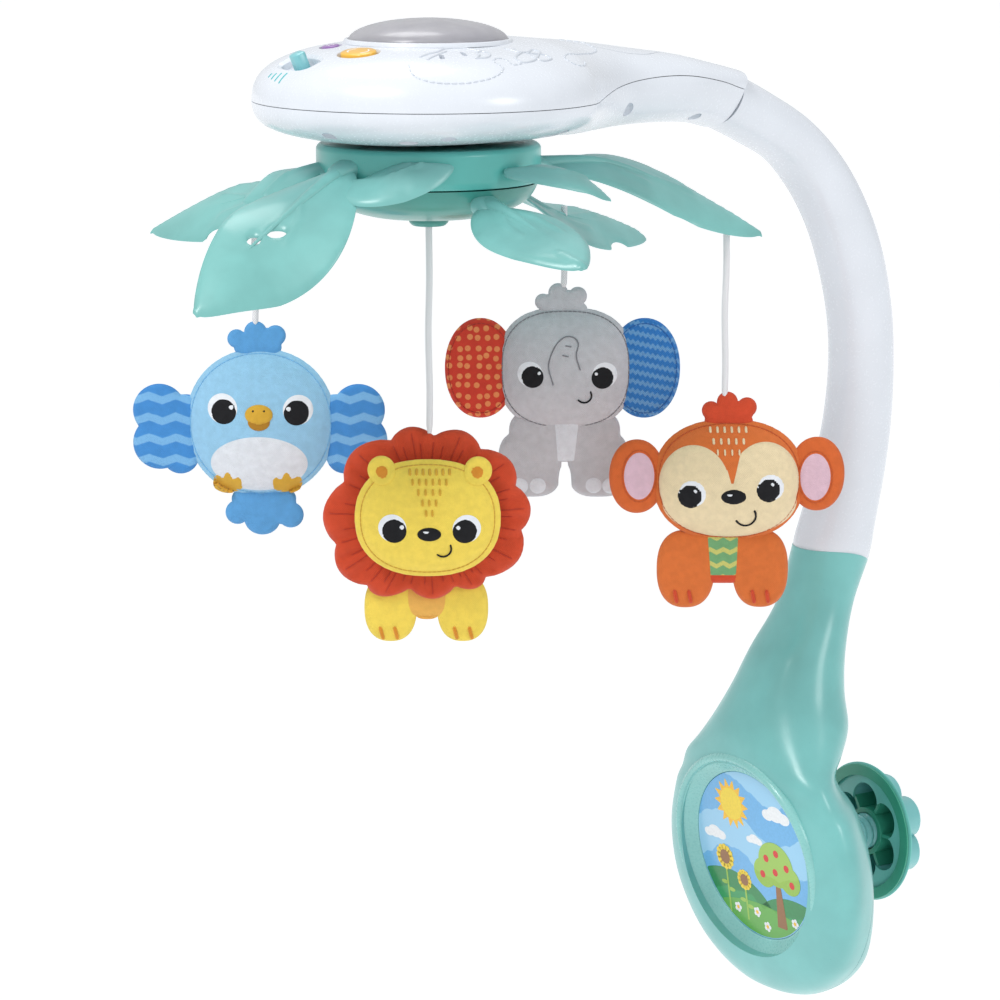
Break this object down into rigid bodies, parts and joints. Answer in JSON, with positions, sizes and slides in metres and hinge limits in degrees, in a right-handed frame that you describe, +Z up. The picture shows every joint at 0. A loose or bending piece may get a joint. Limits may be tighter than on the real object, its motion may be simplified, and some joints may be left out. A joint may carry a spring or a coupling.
{
  "type": "crib mobile",
  "caption": "Crib mobile: a teal rail base with a picture panel, a curved white arm, a round motor head with a light dome, and a leafy carousel of stuffed animals on cords.",
  "frame": {"origin": "The centre of the rubber pad's flat face above the clamp stud, where the base meets the crib rail: 17 mm above the stud's axis, on the mirror plane of the base.", "axes": "+Z up. +Y out of the crib, through the rail, along the clamp stud. The arm and the head reach toward -Y, over the crib. X is across the base, and X = 0 is its mirror plane."},
  "size_m": [0.2867, 0.4091, 0.4795],
  "materials": {
    "battery": "printed sleeve",
    "bird_blue": "knitted plush",
    "black": "matt",
    "board": "circuit board",
    "cord": "braided",
    "dark_teal": "glossy moulded",
    "dome": "frosted translucent plastic",
    "ear_blue": "printed cotton",
    "ear_red": "printed cotton",
    "elephant_grey": "knitted plush",
    "film": "printed film",
    "gear": "natural acetal",
    "lion_red": "brushed cotton",
    "lion_yellow": "knitted plush",
    "monkey_orange": "knitted plush",
    "picture": "printed disc",
    "purple": "glossy",
    "rubber": "soft matt",
    "steel": "zinc plated",
    "switch": "glossy",
    "teal": "glossy moulded",
    "white": "glossy moulded",
    "wing_blue": "printed cotton",
    "yellow": "glossy"
  },
  "bodies": {
    "stand": {"base_back_shell": "teal", "base_front_shell": "teal", "base_screw_1": "steel", "base_screw_2": "steel", "base_screw_3": "steel", "picture_disc": "picture", "rail_pad": "rubber", "clamp_stud": "teal", "arm_tube": "white", "head_upper_shell": "white", "head_lower_shell": "white", "head_screw_1": "steel", "head_screw_2": "steel", "head_screw_3": "steel", "head_screw_4": "steel", "battery_door": "white", "battery_door_screw": "steel", "battery_1": "battery", "battery_2": "battery", "battery_3": "battery", "dome_lens": "dome", "star_film": "film", "light_board": "board", "main_board": "board", "speaker": "black", "drive_motor": "steel"},
    "clamp_ring": {"clamp_ring": "dark_teal"},
    "clamp_knob": {"clamp_knob": "teal"},
    "play_button": {"play_button": "yellow"},
    "mode_button": {"mode_button": "purple"},
    "timer_switch": {"timer_switch": "switch"},
    "carousel": {"drive_gear": "gear", "hub_skirt": "teal", "hub_bowl": "teal", "hub_cap": "teal", "leaf_front_left": "teal", "leaf_back_left": "teal", "leaf_front_right": "teal", "leaf_back_right": "teal", "leaf_right": "teal"},
    "idler_gear": {"idler_gear": "gear"},
    "motor_pinion": {"motor_pinion": "gear"},
    "bird_cord": {"bird_cord": "cord"},
    "bird": {"bird_body": "bird_blue", "bird_wing_left": "wing_blue", "bird_wing_right": "wing_blue"},
    "lion_cord": {"lion_cord": "cord"},
    "lion": {"lion_mane": "lion_red", "lion_face": "lion_yellow", "lion_legs": "lion_yellow"},
    "elephant_cord": {"elephant_cord": "cord"},
    "elephant": {"elephant_head": "elephant_grey", "elephant_ear_left": "ear_red", "elephant_ear_right": "ear_blue", "elephant_legs": "elephant_grey"},
    "monkey_cord": {"monkey_cord": "cord"},
    "monkey": {"monkey_head": "monkey_orange", "monkey_ear_left": "monkey_orange", "monkey_ear_right": "monkey_orange", "monkey_legs": "monkey_orange"}
  },
  "joints": [
    {"name": "clamp_slide", "type": "slide", "parent": "stand", "child": "clamp_ring", "axis": [0, 1, 0], "range_m": [-0.01, 0.012]},
    {"name": "clamp_knob_turn", "type": "hinge", "parent": "clamp_ring", "child": "clamp_knob", "pos_m": [0, 0.03, -0.017], "axis": [0, 1, 0], "range_deg": [-900, 1080]},
    {"name": "play_button_press", "type": "slide", "parent": "stand", "child": "play_button", "axis": [-0.0638, 0.1957, -0.9786], "range_m": [0, 0.0015], "stiffness_N_per_m": 300},
    {"name": "mode_button_press", "type": "slide", "parent": "stand", "child": "mode_button", "axis": [0.0577, 0.1576, -0.9858], "range_m": [0, 0.0015], "stiffness_N_per_m": 300},
    {"name": "timer_switch_slide", "type": "slide", "parent": "stand", "child": "timer_switch", "axis": [0.9942, -0.1074, 0], "range_m": [-0.004, 0.004]},
    {"name": "carousel_spin", "type": "hinge", "parent": "stand", "child": "carousel", "pos_m": [0, -0.236, 0.34], "axis": [0, 0, 1], "continuous": true},
    {"name": "idler_gear_spin", "type": "hinge", "parent": "stand", "child": "idler_gear", "pos_m": [0, -0.26115, 0.346], "axis": [0, 0, 1], "continuous": true},
    {"name": "motor_pinion_spin", "type": "hinge", "parent": "stand", "child": "motor_pinion", "pos_m": [0, -0.2763, 0.346], "axis": [0, 0, 1], "continuous": true},
    {"name": "bird_swing", "type": "hinge", "parent": "carousel", "child": "bird_cord", "pos_m": [-0.0985, -0.26611, 0.30332], "axis": [0.8192, -0.5736, 0], "range_deg": [-10, 10]},
    {"name": "bird_twist", "type": "hinge", "parent": "bird_cord", "child": "bird", "pos_m": [-0.0985, -0.26611, 0.249], "axis": [0, 0, 1], "range_deg": [-20, 20]},
    {"name": "lion_swing", "type": "hinge", "parent": "carousel", "child": "lion_cord", "pos_m": [0, -0.236, 0.3002], "axis": [0.8192, -0.5736, 0], "range_deg": [-10, 10]},
    {"name": "lion_twist", "type": "hinge", "parent": "lion_cord", "child": "lion", "pos_m": [0, -0.236, 0.2091], "axis": [0, 0, 1], "range_deg": [-20, 20]},
    {"name": "elephant_swing", "type": "hinge", "parent": "carousel", "child": "elephant_cord", "pos_m": [-0.02894, -0.14133, 0.30058], "axis": [0.8192, -0.5736, 0], "range_deg": [-10, 10]},
    {"name": "elephant_twist", "type": "hinge", "parent": "elephant_cord", "child": "elephant", "pos_m": [-0.02894, -0.14133, 0.2645], "axis": [0, 0, 1], "range_deg": [-20, 20]},
    {"name": "monkey_swing", "type": "hinge", "parent": "carousel", "child": "monkey_cord", "pos_m": [0.04924, -0.10773, 0.29771], "axis": [0.8192, -0.5736, 0], "range_deg": [-10, 10]},
    {"name": "monkey_twist", "type": "hinge", "parent": "monkey_cord", "child": "monkey", "pos_m": [0.04924, -0.10773, 0.22], "axis": [0, 0, 1], "range_deg": [-20, 20]}
  ],
  "couplings": [
    {"joint": "clamp_slide", "follows": "clamp_knob_turn", "m_per_rad": 0.00063662},
    {"joint": "idler_gear_spin", "follows": "carousel_spin", "ratio": -1.5},
    {"joint": "motor_pinion_spin", "follows": "carousel_spin", "ratio": 3}
  ]
}
